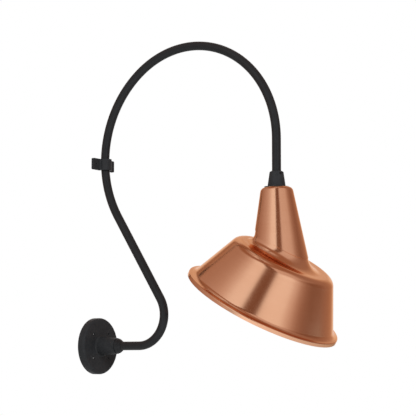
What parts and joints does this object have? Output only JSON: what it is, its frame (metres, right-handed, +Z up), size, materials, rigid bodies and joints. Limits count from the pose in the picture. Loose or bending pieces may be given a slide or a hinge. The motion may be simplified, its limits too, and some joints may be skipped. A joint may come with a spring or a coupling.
{
  "type": "gooseneck wall sconce",
  "caption": "Gooseneck wall sconce: a round wall plate, a hooked pipe arm with a wall strap, and an angled spun copper shade that turns on its stem over a screw-base lamp.",
  "frame": {"origin": "centre of the wall plate's back face, on the wall plane", "axes": "+Z up, +Y into the wall, so the lamp stands out along -Y; the arm lies in the plane X = 0"},
  "size_m": [0.3806, 0.6604, 0.8112],
  "materials": {
    "plate_black": "satin black powder coat on a casting",
    "gasket_rubber": "matte",
    "collar_black": "satin black powder coat",
    "screw_black": "black oxide",
    "ground_screw_green": "green zinc",
    "bushing_rubber": "matte",
    "arm_black": "satin black powder coat on steel pipe",
    "strap_black": "satin black powder coat on a casting",
    "coupling_black": "satin black powder coat on a casting",
    "coupling_screw_black": "black oxide",
    "stem_steel": "zinc plated pipe",
    "locknut_steel": "zinc plated",
    "swivel_rubber": "matte",
    "under_rubber": "matte",
    "neck_copper": "spun copper, satin polish",
    "dome_copper": "spun copper, satin polish",
    "cap_aluminium": "spun",
    "porcelain": "white glazed porcelain",
    "holder_screw_steel": "zinc plated",
    "shell_brass": "bright",
    "contact_brass": "bright",
    "bulb_glass": "frosted",
    "bulb_base_metal": "nickel plated",
    "bulb_insulator": "black glass",
    "bulb_contact_metal": "solder",
    "lead_black": "insulated lead",
    "lead_white": "insulated lead"
  },
  "bodies": {
    "arm": {"wall_plate": "plate_black", "wall_gasket": "gasket_rubber", "hub_collar": "collar_black", "hub_set_screw": "screw_black", "ground_screw": "ground_screw_green", "wire_bushing": "bushing_rubber", "arm_tube": "arm_black", "pipe_strap": "strap_black", "neck_coupling": "coupling_black", "coupling_set_screw": "coupling_screw_black", "stem": "stem_steel", "stem_locknut": "locknut_steel", "lampholder_cap": "cap_aluminium", "lampholder_body": "porcelain", "holder_screws": "holder_screw_steel", "screw_shell": "shell_brass", "centre_contact": "contact_brass", "lead_black": "lead_black", "lead_white": "lead_white"},
    "shade": {"swivel_washer": "swivel_rubber", "under_washer": "under_rubber", "shade_neck": "neck_copper", "shade_dome": "dome_copper"},
    "lamp": {"bulb_glass": "bulb_glass", "bulb_base": "bulb_base_metal", "bulb_insulator": "bulb_insulator", "bulb_contact": "bulb_contact_metal"}
  },
  "joints": [
    {"name": "shade_swivel", "type": "hinge", "parent": "arm", "child": "shade", "pos_m": [0, -0.53225, 0.3655], "axis": [0, 0, 1], "continuous": true},
    {"name": "lamp_unscrew", "type": "slide", "parent": "arm", "child": "lamp", "axis": [0, 0, -1], "range_m": [0, 0.024]}
  ]
}
